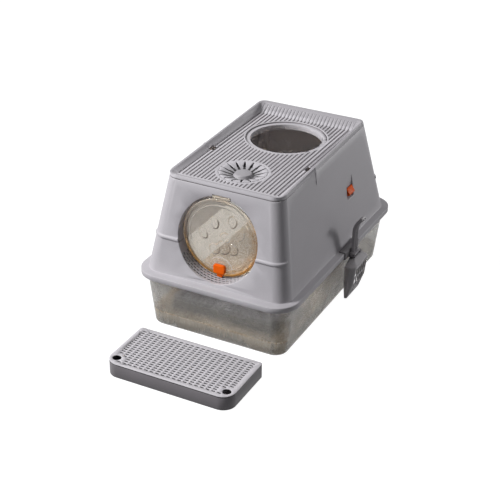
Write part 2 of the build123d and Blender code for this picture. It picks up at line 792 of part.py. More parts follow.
# ================= vent cap =================
vent_flange_top = floor_height - vent_recess_depth + vent_flange_thickness
vent_bowl_top = vent_flange_top - vent_dish_depth
vent_lug_bottom = floor_underside - vent_lug_gap - vent_lug_thickness
vent_hub_top = vent_bowl_top + vent_hub_height
with BuildPart() as vent_cap:
    with BuildSketch(Plane.XZ.offset(-vent_y)):
        with BuildLine():
            Polyline(
                (0, vent_hub_top),
                (vent_hub_top_radius, vent_hub_top),
                (vent_hub_base_radius, vent_bowl_top),
                (vent_dish_radius, vent_flange_top),
                (vent_dish_radius + vent_rim_width, vent_flange_top),
                (vent_dish_radius + vent_rim_width, vent_flange_top - vent_flange_thickness),
                (vent_dish_radius + vent_cap_thickness, vent_flange_top - vent_flange_thickness),
                (vent_dish_radius + vent_cap_thickness, vent_lug_bottom),
                (vent_dish_radius, vent_lug_bottom),
                (vent_dish_radius, vent_flange_top - vent_cap_thickness),
                (vent_hub_base_radius - vent_cap_thickness, vent_bowl_top - vent_cap_thickness),
                (vent_hub_top_radius - vent_cap_thickness, vent_hub_top - vent_cap_thickness),
                (0, vent_hub_top - vent_cap_thickness),
                close=True,
            )
        make_face()
    revolve(axis=Axis((0, vent_y, 0), (0, 0, 1)))
    with BuildSketch(Plane.XY.offset(vent_lug_bottom)):
        with Locations((0, vent_y)):
            with PolarLocations(vent_dish_radius + vent_cap_thickness, vent_lug_count):
                Rectangle(2 * vent_lug_reach, vent_lug_width)
            Circle(vent_dish_radius + vent_cap_thickness / 2, mode=Mode.SUBTRACT)
    extrude(amount=vent_lug_thickness)
    with BuildSketch(Plane.XY.offset(vent_bowl_top - vent_cap_thickness)):
        with Locations((0, vent_y)):
            with PolarLocations((vent_hub_base_radius + vent_dish_radius) / 2, vent_slot_count):
                Polygon(
                    (0, -vent_slot_root / 2),
                    (vent_slot_length, -vent_slot_tip / 2),
                    (vent_slot_length, vent_slot_tip / 2),
                    (0, vent_slot_root / 2),
                )
    extrude(amount=vent_dish_depth + vent_cap_thickness, mode=Mode.SUBTRACT)
save(vent_cap, "vent_cap")

# ================= filter cup and filter =================
cup_top = floor_underside
with BuildPart() as filter_cup:
    with BuildSketch(Plane.XY.offset(cup_top - cup_flange_thickness)):
        with Locations((0, vent_y)):
            Circle(cup_flange_radius)
    extrude(amount=cup_flange_thickness)
    with BuildSketch(Plane.XY.offset(cup_top - cup_depth)):
        with Locations((0, vent_y)):
            Circle(cup_inner_radius + cup_wall)
    extrude(amount=cup_depth)
    with BuildSketch(Plane.XY.offset(cup_top - cup_depth + cup_wall)):
        with Locations((0, vent_y)):
            Circle(cup_inner_radius)
    extrude(amount=cup_depth, mode=Mode.SUBTRACT)
    with BuildSketch(Plane.XY.offset(cup_top - cup_depth)):
        with Locations((0, vent_y)):
            with GridLocations(1, cup_slot_pitch, 1, cup_slot_count):
                SlotOverall(cup_slot_length, cup_slot_width)
    extrude(amount=cup_wall, mode=Mode.SUBTRACT)
save(filter_cup, "filter_cup")

with BuildPart() as carbon_filter:
    with BuildSketch(Plane.XY.offset(cup_top - cup_depth + cup_wall)):
        with Locations((0, vent_y)):
            Circle(cup_inner_radius - filter_clearance)
    extrude(amount=filter_thickness)
    fillet(carbon_filter.edges().filter_by(GeomType.CIRCLE), filter_round)
save(carbon_filter, "carbon_filter")

# ================= door flap =================
flap_radius = door_radius - flap_gap
flap_centre_height = door_height - 1
flap_middle_plane = Plane((0, flap_y, flap_centre_height), x_dir=(1, 0, 0), z_dir=(0, -1, 0))
flap_plane = flap_middle_plane.offset(-flap_thickness / 2)
flap_rim_plane = flap_middle_plane.offset(-flap_rim_thickness / 2)
flap_face_plane = flap_middle_plane.offset(flap_thickness / 2)
latch_drop = latch_knob_height - flap_centre_height
with BuildPart() as door_flap:
    with BuildSketch(flap_plane):
        Circle(flap_radius)
    extrude(amount=flap_thickness)
    with BuildSketch(flap_rim_plane):
        Circle(flap_radius)
        Circle(flap_radius - flap_rim_width, mode=Mode.SUBTRACT)
    extrude(amount=flap_rim_thickness)
    with BuildSketch(flap_face_plane):
        with Locations((0, latch_drop)):
            Circle(latch_boss_radius)
        Circle(flap_radius - flap_rim_width / 2, mode=Mode.INTERSECT)
    extrude(amount=(flap_rim_thickness - flap_thickness) / 2)
    # raised paw print
    with BuildSketch(flap_face_plane):
        with Locations((0, paw_pad_drop)):
            Ellipse(paw_pad_width / 2, paw_pad_height / 2)
        for side in (-1, 1):
            with Locations(Location((side * paw_toe_inner_x, paw_toe_inner_y), side * -paw_toe_inner_tilt)):
                Ellipse(paw_toe_width / 2, paw_toe_height / 2)
            with Locations(Location((side * paw_toe_outer_x, paw_toe_outer_y), side * -paw_toe_outer_tilt)):
                Ellipse(paw_toe_width / 2, paw_toe_height / 2)
    extrude(amount=paw_relief)
    # hinge barrel on a web above the disc
    with Locations(Location((0, hinge_y, hinge_height), (0, 90, 0))):
        Cylinder(hinge_barrel_radius, hinge_width)
    with Locations((0, flap_y, hinge_height)):
        Box(
            hinge_width,
            flap_thickness,
            hinge_height - flap_centre_height - flap_radius + flap_rim_width,
            align=(Align.CENTER, Align.CENTER, Align.MAX),
        )
    with Locations(Location((0, hinge_y, hinge_height), (0, 90, 0))):
        Cylinder(hinge_pin_radius + hinge_pin_clearance, hinge_width, mode=Mode.SUBTRACT)
    with Locations(Location((0, flap_y, latch_knob_height), (90, 0, 0))):
        Cylinder(latch_shaft_radius + latch_shaft_clearance, 4 * flap_rim_thickness, mode=Mode.SUBTRACT)
save(door_flap, "door_flap")

with BuildPart() as door_hinge_pin:
    with Locations(Location((0, hinge_y, hinge_height), (0, 90, 0))):
        Cylinder(hinge_pin_radius, 2 * (lug_inner_x + hinge_pin_seat - hinge_pin_end))
save(door_hinge_pin, "door_hinge_pin")

# ================= door latch =================
flap_front_y = flap_y - flap_rim_thickness / 2
flap_back_y = flap_y + flap_thickness / 2
latch_seat_y = flap_front_y - latch_face_gap
latch_plane = Plane((0, latch_seat_y, latch_knob_height), x_dir=(1, 0, 0), z_dir=(0, -1, 0))
threshold_height = door_height - door_radius
with BuildPart() as door_latch_knob:
    with BuildSketch(latch_plane):
        with Locations((0, (latch_head_above - latch_head_below) / 2)):
            RectangleRounded(latch_head_width, latch_head_above + latch_head_below, latch_head_corner)
    extrude(amount=latch_head_depth)
    fillet(door_latch_knob.edges().group_by(Axis.Y)[0], latch_head_round)
    with BuildSketch(latch_plane):
        Rectangle(
            latch_tongue_width,
            latch_knob_height - threshold_height - latch_tongue_gap,
            align=(Align.CENTER, Align.MAX),
        )
    extrude(amount=latch_tongue_depth)
    shaft_length = flap_back_y - flap_front_y + latch_face_gap + latch_face_gap + latch_clip_thickness
    with BuildSketch(latch_plane):
        Circle(latch_shaft_radius)
    extrude(amount=-shaft_length)
save(door_latch_knob, "door_latch_knob")

with BuildPart() as door_latch_retainer:
    with BuildSketch(latch_plane.offset(-shaft_length)):
        Circle(latch_clip_radius)
        Circle(latch_shaft_radius, mode=Mode.SUBTRACT)
    extrude(amount=latch_clip_thickness)
save(door_latch_retainer, "door_latch_retainer")

# ================= side latches =================
pivot_z = side_latch_pivot_height
lever_back_x = pocket_back_x + side_latch_back_gap
lip_x = half_width_at(side_latch_lip_height) + side_latch_proud
nose_tip_x = tab_outer_x + side_latch_nose_gap
with BuildPart() as side_latch_right:
    with BuildSketch(Plane.XZ.offset(-side_latch_y)):
        with BuildLine():
            Polyline(
                (lever_back_x, pivot_z),
                (side_latch_pivot_x, pivot_z + side_latch_barrel),
                (side_latch_pivot_x + side_latch_barrel, pivot_z + side_latch_barrel / 2),
                (lip_x, side_latch_lip_height + side_latch_lip_face),
                (lip_x, side_latch_lip_height),
                (lever_back_x + side_latch_foot, side_latch_bottom),
                (lever_back_x, side_latch_bottom),
                close=True,
            )
        make_face()
        with Locations((side_latch_pivot_x, pivot_z)):
            Circle(side_latch_barrel)
    extrude(amount=side_latch_width / 2, both=True)
    with Locations((nose_tip_x, side_latch_y, side_latch_nose_bottom)):
        Box(
            lever_back_x + side_latch_foot - nose_tip_x,
            side_latch_nose_width,
            side_latch_nose_height,
            align=(Align.MIN, Align.CENTER, Align.MIN),
        )
    with Locations(Location((side_latch_pivot_x, side_latch_y, pivot_z), (90, 0, 0))):
        Cylinder(side_latch_pin_radius + side_latch_pin_clearance, side_latch_width, mode=Mode.SUBTRACT)
save(side_latch_right, "side_latch_right")

with BuildPart() as side_latch_left:
    add(side_latch_right.part)
    mirror(about=Plane.YZ, mode=Mode.REPLACE)
save(side_latch_left, "side_latch_left")

with BuildPart() as side_latch_pins:
    for side in (-1, 1):
        with Locations(Location((side * side_latch_pivot_x, side_latch_y, pivot_z), (90, 0, 0))):
            Cylinder(side_latch_pin_radius, pocket_width + 2 * side_latch_pin_seat - side_latch_pin_end)
save(side_latch_pins, "side_latch_pins")

# ================= steps =================


def step_outline(plane, x, y, width, depth, front_radius, back_radius, inset):
    """Plan of a step with its own corner radii at the front and the back."""
    with BuildSketch(plane) as plan:
        with Locations((x, y)):
            Rectangle(width - 2 * inset, depth - 2 * inset)
        fillet(plan.vertices().group_by(Axis.Y)[0], front_radius - inset)
        fillet(plan.vertices().group_by(Axis.Y)[-1], back_radius - inset)
    return plan.sketch


def step_tray(base, x, y, width, depth, height, front_radius, back_radius):
    """Open box that the grid lies on."""
    outside = step_outline(Plane.XY.offset(base), x, y, width, depth, front_radius, back_radius, 0)
    inside = step_outline(
        Plane.XY.offset(base + step_wall), x, y, width, depth, front_radius, back_radius, step_wall
    )
    with BuildPart() as tray:
        extrude(outside, amount=height - step_grid_thickness)
        extrude(inside, amount=height, mode=Mode.SUBTRACT)
    return tray


def step_grid(top, x, y, width, depth, front_radius, back_radius, finger_holes):
    """Slotted plate with a skirt that drops inside the tray."""
    plate = step_outline(
        Plane.XY.offset(top - step_grid_thickness), x, y, width, depth, front_radius, back_radius, 0
    )
    skirt_plane = Plane.XY.offset(top - step_grid_thickness - step_grid_skirt)
    skirt_inset = step_wall + step_grid_clearance
    skirt = step_outline(skirt_plane, x, y, width, depth, front_radius, back_radius, skirt_inset)
    skirt_inside_inset = skirt_inset + step_wall
    skirt_inside = step_outline(
        skirt_plane, x, y, width, depth, front_radius, back_radius, skirt_inside_inset
    )
    half_slots_x = int((width / 2 - step_slot_margin - step_slot_length / 2) / step_slot_pitch_x)
    half_slots_y = int((depth / 2 - step_slot_margin) / step_slot_pitch_y)
    slots = []
    for column in range(-half_slots_x, half_slots_x + 1):
        for row in range(-half_slots_y, half_slots_y + 1):
            slot = Vector(column * step_slot_pitch_x, row * step_slot_pitch_y)
            near = min([(slot - hole).length for hole in finger_holes] + [width])
            if near > finger_hole_keepout:
                slots.append((x + slot.X, y + slot.Y))
    with BuildPart() as grid:
        extrude(plate, amount=step_grid_thickness)
        extrude(skirt, amount=step_grid_skirt)
        extrude(skirt_inside, amount=step_grid_skirt, mode=Mode.SUBTRACT)
        with BuildSketch(Plane.XY.offset(top - step_grid_thickness)):
            with Locations(*slots):
                SlotOverall(step_slot_length, step_slot_width)
            for hole in finger_holes:
                with Locations((x + hole.X, y + hole.Y)):
                    Circle(finger_hole_radius)
        extrude(amount=step_grid_thickness, mode=Mode.SUBTRACT)
    return grid


inner_step_tray = step_tray(
    pan_wall,
    0,
    inner_step_y,
    inner_step_width,
    inner_step_depth,
    inner_step_height,
    inner_step_radius,
    inner_step_radius,
)
save(inner_step_tray, "inner_step_tray")
inner_step_grid = step_grid(
    pan_wall + inner_step_height,
    0,
    inner_step_y,
    inner_step_width,
    inner_step_depth,
    inner_step_radius,
    inner_step_radius,
    [],
)
save(inner_step_grid, "inner_step_grid")

outer_step_tray = step_tray(
    0,
    outer_step_x,
    outer_step_y,
    outer_step_width,
    outer_step_depth,
    outer_step_height,
    outer_step_front_radius,
    outer_step_back_radius,
)
save(outer_step_tray, "outer_step_tray")
finger_x = outer_step_width / 2 - finger_hole_side
finger_y = finger_hole_front - outer_step_depth / 2
outer_step_grid = step_grid(
    outer_step_height,
    outer_step_x,
    outer_step_y,
    outer_step_width,
    outer_step_depth,
    outer_step_front_radius,
    outer_step_back_radius,
    [Vector(-finger_x, finger_y), Vector(finger_x, finger_y)],
)
save(outer_step_grid, "outer_step_grid")

# ================= scoop holder =================
flange_side_x = flange_width / 2
flange_lip_bottom = flange_top - flange_drop
holder_plate_x = flange_side_x + holder_gap
holder_bottom = flange_lip_bottom - holder_gap - holder_thickness
lip_inner_x = flange_inner_width / 2
with BuildPart() as scoop_holder:
    with BuildSketch(Plane.XZ.offset(-holder_y)):
        with BuildLine():
            Polyline(
                (holder_plate_x + holder_thickness, flange_top + holder_thickness),
                (holder_plate_x + holder_thickness, holder_bottom),
                (lip_inner_x - holder_gap - holder_thickness, holder_bottom),
                (lip_inner_x - holder_gap - holder_thickness, flange_lip_bottom + holder_hook_rise),
                (lip_inner_x - holder_gap, flange_lip_bottom + holder_hook_rise),
                (lip_inner_x - holder_gap, holder_bottom + holder_thickness),
                (holder_plate_x, holder_bottom + holder_thickness),
                (holder_plate_x, flange_top),
                (holder_plate_x - holder_tab, flange_top),
                (holder_plate_x - holder_tab, flange_top + holder_thickness),
                close=True,
            )
        make_face()
    extrude(amount=holder_width / 2, both=True)
    fork_gap = scoop_handle_width / 2 + scoop_fork_gap
    for side in (-1, 1):
        fork_y = holder_y + side * (fork_gap + holder_fork_width / 2)
        with Locations((holder_plate_x, fork_y, holder_fork_height)):
            Box(
                holder_thickness + holder_fork_reach,
                holder_fork_width,
                holder_fork_thickness,
                align=(Align.MIN, Align.CENTER, Align.MAX),
            )
save(scoop_holder, "scoop_holder")

# ================= scoop =================
scoop_back_x = holder_plate_x + holder_thickness + scoop_gap
neck_height = scoop_head_top + scoop_shoulder
scoop_back_plane = Plane((scoop_back_x, holder_y, 0), x_dir=(0, 1, 0), z_dir=(1, 0, 0))
scoop_head_height = scoop_head_top - scoop_head_bottom


def scoop_section(height, width, depth, corner, inset, behind):
    """Level cut of the head: a flat back at the holder's side and two round corners in front."""
    with BuildSketch(Plane((scoop_back_x, holder_y, height), x_dir=(0, 1, 0), z_dir=(0, 0, -1))) as cut:
        with Locations((0, -behind)):
            Rectangle(width - 2 * inset, depth - inset + behind, align=(Align.CENTER, Align.MIN))
        fillet(cut.vertices().group_by(Axis.Y)[-1], corner - inset / 2)
    return cut.sketch


def scoop_shape(inset, behind, foot, crown):
    """The head from lip to neck: shallow at the lip, deepest under the shoulder."""
    belly_height = scoop_head_bottom + scoop_belly_share * scoop_head_height
    heights = (scoop_head_bottom - foot, belly_height, scoop_head_top, neck_height - crown)
    widths = (scoop_lip_width, scoop_head_width, scoop_head_width, scoop_neck_width)
    depths = (scoop_lip_depth, scoop_belly_depth, scoop_depth, scoop_neck_depth)
    corners = (scoop_lip_corner, scoop_belly_corner, scoop_belly_corner, scoop_lip_corner)
    sizes = zip(heights, widths, depths, corners)
    return [scoop_section(*size, inset, behind) for size in sizes]


with BuildPart() as scoop_hollow:
    for section in scoop_shape(scoop_wall, scoop_wall, scoop_wall, scoop_wall):
        add(section)
    loft(ruled=True)

with BuildPart() as litter_scoop:
    for section in scoop_shape(0, 0, 0, 0):
        add(section)
    loft(ruled=True)
    add(scoop_hollow.part, mode=Mode.SUBTRACT)
    with BuildSketch(scoop_back_plane):
        with Locations((0, scoop_head_bottom + scoop_head_height / 2 - scoop_slot_drop)):
            with GridLocations(scoop_slot_pitch_y, scoop_slot_pitch_z, scoop_slot_columns, scoop_slot_rows):
                SlotOverall(scoop_slot_length, scoop_slot_width, rotation=90)
    extrude(amount=scoop_depth, mode=Mode.SUBTRACT)
    # handle: straight, then curling outwards
    with BuildLine(Plane.XZ.offset(-holder_y)) as handle_path:
        straight = Line(
            (scoop_back_x + scoop_handle_depth / 2, neck_height - scoop_shoulder),
            (scoop_back_x + scoop_handle_depth / 2, scoop_handle_straight_top),
        )
        RadiusArc(
            straight @ 1,
            (
                scoop_back_x + scoop_handle_depth / 2
                + scoop_handle_arc_radius * (1 - cos(radians(scoop_handle_arc_angle))),
                scoop_handle_straight_top + scoop_handle_arc_radius * sin(radians(scoop_handle_arc_angle)),
            ),
            scoop_handle_arc_radius,
        )
    scoop_channel_width = (scoop_handle_width - 3 * scoop_rib_width) / 2
    neck_origin = (scoop_back_x + scoop_handle_depth / 2, holder_y, neck_height - scoop_shoulder)
    with BuildSketch(Plane(neck_origin)):
        RectangleRounded(scoop_handle_depth, scoop_handle_width, scoop_handle_corner)
        for side in (-1, 1):
            with Locations((scoop_handle_depth / 2, side * (scoop_channel_width + scoop_rib_width) / 2)):
                Rectangle(2 * scoop_channel_depth, scoop_channel_width, mode=Mode.SUBTRACT)
    sweep(path=handle_path.wires()[0])
    with Locations((scoop_back_x, holder_y, holder_fork_height)):
        Box(
            scoop_handle_depth + scoop_collar_thickness,
            scoop_collar_width,
            scoop_collar_thickness,
            align=(Align.MIN, Align.CENTER, Align.MIN),
        )
    hang_angle = radians(scoop_handle_arc_angle - scoop_hang_hole_inset)
    hang_point = (
        scoop_back_x + scoop_handle_depth / 2 + scoop_handle_arc_radius * (1 - cos(hang_angle)),
        holder_y,
        scoop_handle_straight_top + scoop_handle_arc_radius * sin(hang_angle),
    )
    with BuildSketch(Plane(hang_point, z_dir=(cos(hang_angle), 0, -sin(hang_angle)))):
        Circle(scoop_hang_hole_radius)
    extrude(amount=scoop_handle_depth, both=True, mode=Mode.SUBTRACT)
save(litter_scoop, "litter_scoop")
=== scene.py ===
import json
import math

import bmesh
import bpy
import numpy as np
from mathutils import Matrix, Vector

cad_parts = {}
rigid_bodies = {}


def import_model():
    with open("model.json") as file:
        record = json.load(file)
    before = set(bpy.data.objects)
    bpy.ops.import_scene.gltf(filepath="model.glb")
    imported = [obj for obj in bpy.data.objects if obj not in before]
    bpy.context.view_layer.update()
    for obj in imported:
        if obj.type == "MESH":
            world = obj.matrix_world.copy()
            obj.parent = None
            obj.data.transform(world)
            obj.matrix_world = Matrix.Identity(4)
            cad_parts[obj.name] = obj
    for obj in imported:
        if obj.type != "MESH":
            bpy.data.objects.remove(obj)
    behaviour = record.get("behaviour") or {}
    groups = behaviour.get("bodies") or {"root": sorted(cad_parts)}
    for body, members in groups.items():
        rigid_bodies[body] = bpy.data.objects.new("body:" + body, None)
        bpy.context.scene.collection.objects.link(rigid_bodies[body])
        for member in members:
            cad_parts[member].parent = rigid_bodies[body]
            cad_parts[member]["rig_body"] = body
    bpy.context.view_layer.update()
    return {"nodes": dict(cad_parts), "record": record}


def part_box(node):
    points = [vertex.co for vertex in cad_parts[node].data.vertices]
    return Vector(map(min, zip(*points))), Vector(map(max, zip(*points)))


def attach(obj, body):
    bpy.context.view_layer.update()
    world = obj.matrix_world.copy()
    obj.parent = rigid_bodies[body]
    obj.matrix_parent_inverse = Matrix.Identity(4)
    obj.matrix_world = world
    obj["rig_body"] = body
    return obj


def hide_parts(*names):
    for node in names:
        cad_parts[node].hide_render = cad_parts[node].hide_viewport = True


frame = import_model()
nodes = frame["nodes"]
print("frame loaded,", len(nodes), "nodes")


class Link:
    # one shader socket; sums and products of it add Math nodes
    def __init__(self, tree, socket):
        self.tree = tree
        self.socket = socket

    def math(self, operation, first, second=None):
        node = self.tree.nodes.new("ShaderNodeMath")
        node.operation = operation
        for slot, value in zip(node.inputs, (first, second)):
            feed(self.tree, slot, value)
        return Link(self.tree, node.outputs[0])

    def __add__(self, other):
        return self.math("ADD", self, other)

    def __radd__(self, other):
        return self.math("ADD", other, self)

    def __sub__(self, other):
        return self.math("SUBTRACT", self, other)

    def __rsub__(self, other):
        return self.math("SUBTRACT", other, self)

    def __mul__(self, other):
        return self.math("MULTIPLY", self, other)

    def __rmul__(self, other):
        return self.math("MULTIPLY", other, self)

    def __pow__(self, other):
        return self.math("POWER", self, other)

    def __abs__(self):
        return self.math("ABSOLUTE", self)


def feed(tree, slot, value):
    # links a socket, or writes a plain value
    if value is None:
        return
    if isinstance(value, Link):
        tree.links.new(value.socket, slot)
    elif isinstance(value, (tuple, list)) and slot.type == "RGBA" and len(value) == 3:
        slot.default_value = (*value, 1)
    else:
        slot.default_value = value


def linear(red, green, blue):
    # display colour 0..255 to scene colour 0..1
    shares = [part / 255 for part in (red, green, blue)]
    return tuple(share / 12.92 if share < 0.04045 else ((share + 0.055) / 1.055) ** 2.4 for share in shares)


def metres(size):
    # millimetres to metres, for a number or a pair
    return tuple(part / 1000 for part in size) if isinstance(size, tuple) else size / 1000


class Finish:
    # a node material with one Principled shader
    def __init__(self, name, **constants):
        self.material = bpy.data.materials.new(name)
        self.material.use_nodes = True
        self.tree = self.material.node_tree
        self.shader = self.tree.nodes["Principled BSDF"]
        self.use(**constants)
        self.place = self.node("ShaderNodeTexCoord", out="Object")

    def node(self, kind, settings=None, out=0, stops=None, **inputs):
        # an input is given by its name, or as i and its number
        node = self.tree.nodes.new(kind)
        for key, value in (settings or {}).items():
            setattr(node, key, value)
        if stops:
            ramp = node.color_ramp
            while len(ramp.elements) < len(stops):
                ramp.elements.new(0.5)
            for element, (where, colour) in zip(ramp.elements, stops):
                element.position = where
                element.color = (*colour, 1)
        for key, value in inputs.items():
            numbered = key[0] == "i" and key[1:].isdigit()
            slot = node.inputs[int(key[1:]) if numbered else key.replace("_", " ")]
            feed(self.tree, slot, value)
        return Link(self.tree, node.outputs[out])

    def noise(self, scale, detail=3, roughness=0.5):
        return self.node("ShaderNodeTexNoise", Vector=self.place, Scale=scale, Detail=detail,
                         Roughness=roughness)

    def axes(self):
        # the three coordinates of a point on the piece, in metres
        split = self.node("ShaderNodeSeparateXYZ", Vector=self.place).socket.node
        return [Link(self.tree, output) for output in split.outputs]

    def blend(self, mask, dark, light):
        return self.node("ShaderNodeMix", {"data_type": "RGBA"}, out=2, i0=mask, i6=dark, i7=light)

    def rise(self, value, span, start=0.0, end=1.0):
        # smooth change from start to end while the value crosses the span
        return self.node("ShaderNodeMapRange", {"interpolation_type": "SMOOTHSTEP"}, Value=value,
                         From_Min=span[0], From_Max=span[1], To_Min=start, To_Max=end)

    def colour(self):
        # what feeds the base colour so far
        return Link(self.tree, self.shader.inputs["Base Color"].links[0].from_socket)

    def use(self, **links):
        for key, value in links.items():
            feed(self.tree, self.shader.inputs[key.replace("_", " ")], value)

    def bump(self, height, strength, distance):
        self.use(Normal=self.node("ShaderNodeBump", Height=height, Strength=strength, Distance=distance))


# sizes are in millimetres; a Fade or a Span is where a shade starts to change and where it has changed
moulding = {
    "cloud": (9, 4, 0.6), "cloudShare": 0.6, "grain": 900, "grainDetail": 2, "grainRoughness": 0.7,
    "colourSpan": (0.3, 0.7), "rough": (0.42, 0.56), "roughSpan": (0.35, 0.65),
    "bump": 0.12, "bumpDistance": 0.4,
}


def mouldedPlastic(name, dark, light, grain=moulding["grain"], rough=moulding["rough"], bump=moulding["bump"],
                   **constants):
    # fine spark grain, faint cloudy colour, roughness that follows both
    finish = Finish(name, **constants)
    cloud = finish.noise(*moulding["cloud"])
    speck = finish.noise(grain, moulding["grainDetail"], moulding["grainRoughness"])
    tone = cloud * moulding["cloudShare"] + speck * (1 - moulding["cloudShare"])
    finish.use(Base_Color=finish.blend(finish.rise(tone, moulding["colourSpan"]), dark, light))
    finish.use(Roughness=finish.rise(speck * 0.5 + cloud * 0.5, moulding["roughSpan"], *rough))
    finish.bump(speck, bump, metres(moulding["bumpDistance"]))
    return finish


def shades(piece):
    return linear(*piece["dark"]), linear(*piece["light"])


hood = {
    "dark": (168, 165, 170), "light": (177, 174, 179),
    # painted shadow under the bead and painted shade in the door tunnel's slots, with where they fall
    "beadShadow": (92, 89, 93), "beadShadowHeight": 207.4, "beadShadowFade": (0.0, 1.7), "beadShadowEndFade": (126.0, 132.0),
    "beadShadowStrength": 0.8, "doorRadius": 91.0, "doorHeight": 231.0, "frontFoot": -269.5, "frontBase": 133.0,
    "lean": 0.1908, "slotShade": (58, 55, 58), "slotTopFade": (0.2, 0.6), "slotFloorFade": (3.2, 3.4),
    "slotFrontFade": (1.0, 1.5), "slotBackFade": (-227.5, -227.0),
}


def hoodFinish():
    # a thin painted shadow line under the bead, on the front and the back only, and painted shade on the
    # walls of the slots in the door tunnel's floor: these walls lie just outside the tunnel's radius, behind
    # the leaning front wall
    finish = mouldedPlastic("beadedPlastic", *shades(hood))
    across, depth, height = finish.axes()
    # the painted shadow line under the bead, faded out towards the sides
    beadShadow = finish.rise(abs(height - metres(hood["beadShadowHeight"])), metres(hood["beadShadowFade"]), 1.0, 0.0)
    beadShadow = beadShadow * finish.rise(abs(across), metres(hood["beadShadowEndFade"]), hood["beadShadowStrength"], 0.0)
    beadShaded = finish.blend(beadShadow, finish.colour(), linear(*hood["beadShadow"]))
    up = height - metres(hood["doorHeight"])
    beyond = (across * across + up * up) ** 0.5 - metres(hood["doorRadius"])
    front = (height - metres(hood["frontBase"])) * hood["lean"] + metres(hood["frontFoot"])
    # painted shade on the walls of the slots in the tunnel's floor
    shadeMask = finish.rise(beyond, metres(hood["slotTopFade"]))
    shadeMask = shadeMask * finish.rise(beyond, metres(hood["slotFloorFade"]), 1.0, 0.0)
    shadeMask = shadeMask * finish.rise(depth - front, metres(hood["slotFrontFade"]))
    shadeMask = shadeMask * finish.rise(depth, metres(hood["slotBackFade"]), 1.0, 0.0)
    finish.use(Base_Color=finish.blend(shadeMask, beadShaded, linear(*hood["slotShade"])))
    return finish


panel = {
    # the rim, groove and slot colours are painted shade
    "dark": (184, 181, 186), "light": (192, 189, 194), "rim": (162, 159, 164), "rimShadeFade": (341.5, 347.0),
    "grooveShade": (128, 123, 127), "grooveFade": (338.6, 339.6),
    "slotShade": (48, 46, 48), "slotTop": 0.2, "slotFloor": 1.1,
}


def recessShadeFinish(name, fade, paintedShade):
    # painted shade, darker below a height down in grooves and slots, and greyer up on the rim, away from the
    # top light
    finish = mouldedPlastic(name, *shades(panel))
    height = finish.axes()[2]
    # painted shade: the rim greyer than the flat floor, as it faces the top light less
    rim = finish.rise(height, metres(panel["rimShadeFade"]))
    rimShaded = finish.blend(rim, finish.colour(), linear(*panel["rim"]))
    # painted shade below the given height
    shadeMask = finish.rise(height, metres(fade), 1.0, 0.0)
    finish.use(Base_Color=finish.blend(shadeMask, rimShaded, linear(*paintedShade)))
    return finish


def gridFinish(name):
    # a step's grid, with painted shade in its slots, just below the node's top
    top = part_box(name)[1][2] * 1000
    fade = (top - panel["slotFloor"], top - panel["slotTop"])
    return recessShadeFinish(name + "Plastic", fade, panel["slotShade"])


vent = {
    # the last colour is painted shade for the slot walls, and the shade share darkens the dish near the hub
    "centre": -138.5, "slots": 16, "root": 21.4, "tip": 44.6, "rootHalf": 3.4, "tipHalf": 1.5,
    "sideFade": (-0.2, 0.3), "rootEdge": 0.8, "tipEdge": 0.6, "shade": 0.35, "shadeReach": 4.0,
    "paintedShade": (30, 28, 30),
}


def ventFinish():
    # wedge slots round the hub, painted dark on their walls: the half width shrinks from root to tip
    finish = mouldedPlastic("ventPlastic", *shades(panel))
    across, depth = finish.axes()[:2]
    along = depth - metres(vent["centre"])
    radius = (across * across + along * along) ** 0.5
    root, tip = metres(vent["root"]), metres(vent["tip"])
    pitch = 2 * math.pi / vent["slots"]
    turn = along.math("ARCTAN2", along, across) * (1 / pitch)
    folded = abs(turn - turn.math("ROUND", turn)) * radius * pitch
    half = finish.node("ShaderNodeMapRange", Value=radius, From_Min=root, From_Max=tip,
                       To_Min=metres(vent["rootHalf"]), To_Max=metres(vent["tipHalf"]))
    wedge = finish.rise(half - folded, metres(vent["sideFade"]))
    wedge = wedge * finish.rise(radius, (root - metres(vent["rootEdge"]), root))
    wedge = wedge * finish.rise(radius, (tip, tip + metres(vent["tipEdge"])), 1.0, 0.0)
    # painted shade over the dish, darkest at the hub and gone past the slots' tips
    shade = finish.rise(radius, (root, tip + metres(vent["shadeReach"])), vent["shade"], 0.0)
    dark = wedge.math("MAXIMUM", wedge, shade)
    finish.use(Base_Color=finish.blend(dark, finish.colour(), linear(*vent["paintedShade"])))
    return finish


grains = {
    # the gap colour is painted shade between the grains
    "cells": 330, "gap": (140, 112, 78), "gapSpan": (0.35, 0.75),
    "sand": [(0.1, (170, 144, 112)), (0.35, (220, 202, 174)),
             (0.7, (236, 222, 200)), (0.95, (248, 240, 226))],
    "packed": (176, 168, 156), "packedFade": (30.8, 31.8), "packedShare": 0.88,
    "rough": (0.8, 0.95), "bump": 0.7, "bumpDistance": 1.2,
    "top": 34.2, "foot": 2.9, "relief": 0.8, "pitch": 2.3, "seed": 7,
    "swell": 1.5, "swellX": 31, "swellY": 39, "swellShift": 0.7, "bend": 1.3, "bendY": 47,
    "ripple": 0.5, "rippleX": 13, "rippleY": 17,
    "width": 313.6, "length": 523.0, "corner": 26.0, "lean": 0.108,
    "stepWidth": 246.0, "stepFront": -233.0, "stepBack": -91.2,
}


